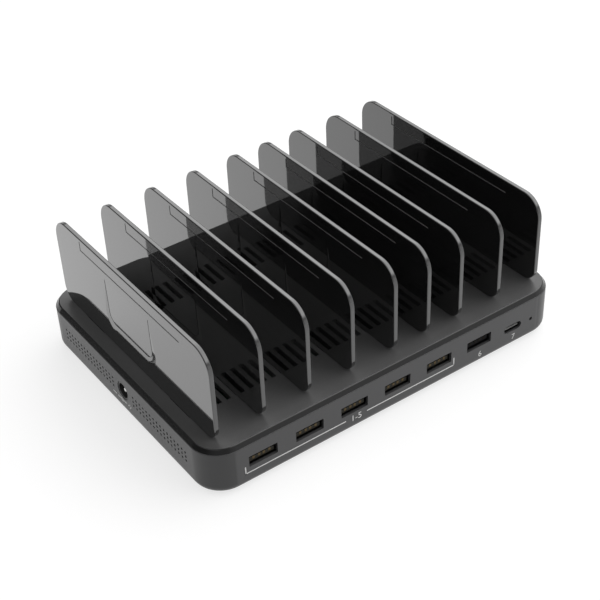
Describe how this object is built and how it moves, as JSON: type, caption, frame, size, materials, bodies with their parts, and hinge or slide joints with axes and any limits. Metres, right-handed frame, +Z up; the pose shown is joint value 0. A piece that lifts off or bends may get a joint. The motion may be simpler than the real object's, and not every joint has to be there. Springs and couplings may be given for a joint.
{
  "type": "charging station organizer",
  "caption": "Low rounded charging base with a row of upright lift-out dividers on its slotted deck, ports along the front and a power socket and vents on the left.",
  "frame": {"origin": "on the table, under the middle of the base", "axes": "+X along the port side towards the small oval port, -Y towards the ports, +Z up"},
  "size_m": [0.17, 0.1252, 0.0617],
  "materials": {
    "case_plastic": "fine satin texture",
    "cover_plastic": "satin",
    "divider_plastic": "polished",
    "shell_metal": "plated",
    "tongue_plastic": "moulded",
    "contact_metal": "plated",
    "jack_plastic": "moulded",
    "pale_plastic": "moulded",
    "pin_metal": "plated",
    "board_laminate": "lacquered",
    "capacitor_can": "satin",
    "coil_ferrite": "sintered",
    "chip_resin": "moulded",
    "sink_metal": "extruded",
    "screw_steel": "zinc plated",
    "foot_rubber": "matt",
    "light_pipe_resin": "clear",
    "lamp_resin": "clear"
  },
  "bodies": {
    "base": {"lower_housing": "case_plastic", "top_cover": "cover_plastic", "usb_a_shell_1": "shell_metal", "usb_a_tongue_1": "tongue_plastic", "usb_a_contacts_1": "contact_metal", "usb_a_shell_2": "shell_metal", "usb_a_tongue_2": "tongue_plastic", "usb_a_contacts_2": "contact_metal", "usb_a_shell_3": "shell_metal", "usb_a_tongue_3": "tongue_plastic", "usb_a_contacts_3": "contact_metal", "usb_a_shell_4": "shell_metal", "usb_a_tongue_4": "tongue_plastic", "usb_a_contacts_4": "contact_metal", "usb_a_shell_5": "shell_metal", "usb_a_tongue_5": "tongue_plastic", "usb_a_contacts_5": "contact_metal", "usb_a_shell_6": "shell_metal", "usb_a_tongue_6": "tongue_plastic", "usb_a_contacts_6": "contact_metal", "usb_c_shell": "shell_metal", "usb_c_tongue": "pale_plastic", "usb_c_contacts": "contact_metal", "light_pipe": "light_pipe_resin", "indicator_lamp": "lamp_resin", "dc_jack_body": "jack_plastic", "dc_jack_pin": "pin_metal", "main_board": "board_laminate", "capacitor_1": "capacitor_can", "capacitor_2": "capacitor_can", "capacitor_3": "capacitor_can", "coil_1": "coil_ferrite", "coil_2": "coil_ferrite", "coil_3": "coil_ferrite", "coil_4": "coil_ferrite", "controller_chip_1": "chip_resin", "controller_chip_2": "chip_resin", "controller_chip_3": "chip_resin", "controller_chip_4": "chip_resin", "heat_sink": "sink_metal", "board_screws": "screw_steel", "case_screws": "screw_steel", "rubber_feet": "foot_rubber"},
    "divider_1": {"divider_1": "divider_plastic"},
    "divider_2": {"divider_2": "divider_plastic"},
    "divider_3": {"divider_3": "divider_plastic"},
    "divider_4": {"divider_4": "divider_plastic"},
    "divider_5": {"divider_5": "divider_plastic"},
    "divider_6": {"divider_6": "divider_plastic"},
    "divider_7": {"divider_7": "divider_plastic"},
    "divider_8": {"divider_8": "divider_plastic"},
    "divider_9": {"divider_9": "divider_plastic"}
  },
  "joints": [
    {"name": "divider_1_lift", "type": "slide", "parent": "base", "child": "divider_1", "axis": [0, 0, 1], "range_m": [0, 0.046]},
    {"name": "divider_2_lift", "type": "slide", "parent": "base", "child": "divider_2", "axis": [0, 0, 1], "range_m": [0, 0.046]},
    {"name": "divider_3_lift", "type": "slide", "parent": "base", "child": "divider_3", "axis": [0, 0, 1], "range_m": [0, 0.046]},
    {"name": "divider_4_lift", "type": "slide", "parent": "base", "child": "divider_4", "axis": [0, 0, 1], "range_m": [0, 0.046]},
    {"name": "divider_5_lift", "type": "slide", "parent": "base", "child": "divider_5", "axis": [0, 0, 1], "range_m": [0, 0.046]},
    {"name": "divider_6_lift", "type": "slide", "parent": "base", "child": "divider_6", "axis": [0, 0, 1], "range_m": [0, 0.046]},
    {"name": "divider_7_lift", "type": "slide", "parent": "base", "child": "divider_7", "axis": [0, 0, 1], "range_m": [0, 0.046]},
    {"name": "divider_8_lift", "type": "slide", "parent": "base", "child": "divider_8", "axis": [0, 0, 1], "range_m": [0, 0.046]},
    {"name": "divider_9_lift", "type": "slide", "parent": "base", "child": "divider_9", "axis": [0, 0, 1], "range_m": [0, 0.046]}
  ]
}
